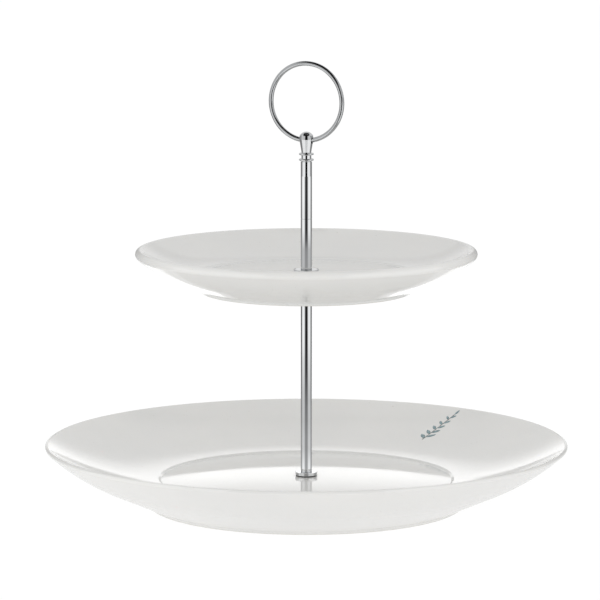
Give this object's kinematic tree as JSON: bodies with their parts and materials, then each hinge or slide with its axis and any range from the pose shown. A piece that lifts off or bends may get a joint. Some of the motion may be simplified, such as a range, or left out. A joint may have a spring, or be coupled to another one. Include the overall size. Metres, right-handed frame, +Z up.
{
  "type": "tiered cake stand",
  "caption": "Tiered cake stand: a large and a small round coupe plate clamped on a slim screwed tube mast, with a beaded finial and a swinging lifting ring.",
  "frame": {"origin": "on the mast's axis at the table, in the plane of the lower plate's foot", "axes": "+Z up the mast; X along the hinge line of the lifting ring, whose plane is XZ at rest; Y towards the ring's faces"},
  "size_m": [0.305, 0.305, 0.2598],
  "materials": {
    "porcelain": "white glazed porcelain, gloss",
    "chrome": "polished chrome plate",
    "steel": "zinc-plated steel",
    "brass": "turned brass",
    "gasket": "dark rubber"
  },
  "bodies": {
    "base": {"lower_plate": "porcelain", "lower_gasket": "gasket", "base_gasket": "gasket"},
    "lower_mast": {"lower_washer": "chrome", "base_washer": "steel", "base_screw": "steel", "lower_foot_bush": "brass", "lower_tube": "chrome", "lower_head_stud": "steel", "support_washer": "chrome"},
    "upper_tier": {"upper_plate": "porcelain", "support_gasket": "gasket", "upper_gasket": "gasket", "upper_washer": "chrome"},
    "thread_nut": {"upper_foot_bush": "brass"},
    "handle": {"upper_tube": "chrome", "upper_head_stud": "steel", "handle_foot_bush": "brass", "handle_tube": "chrome", "handle_head_bush": "brass", "finial": "chrome"},
    "lifting_ring": {"ring": "chrome"}
  },
  "joints": [
    {"name": "mast_swivel", "type": "hinge", "parent": "base", "child": "lower_mast", "pos_m": [0, 0, 0.0191], "axis": [0, 0, 1], "continuous": true},
    {"name": "upper_plate_swivel", "type": "hinge", "parent": "lower_mast", "child": "upper_tier", "pos_m": [0, 0, 0.1308], "axis": [0, 0, 1], "continuous": true},
    {"name": "handle_rise", "type": "slide", "parent": "lower_mast", "child": "thread_nut", "axis": [0, 0, 1], "range_m": [0, 0.0091]},
    {"name": "handle_unscrew", "type": "hinge", "parent": "thread_nut", "child": "handle", "pos_m": [0, 0, 0.1386], "axis": [0, 0, 1], "range_deg": [0, 4680]},
    {"name": "ring_swing", "type": "hinge", "parent": "handle", "child": "lifting_ring", "pos_m": [0, 0, 0.2138], "axis": [1, 0, 0], "range_deg": [-173, 173]}
  ],
  "couplings": [
    {"joint": "handle_rise", "follows": "handle_unscrew", "m_per_rad": 0.00011141}
  ]
}
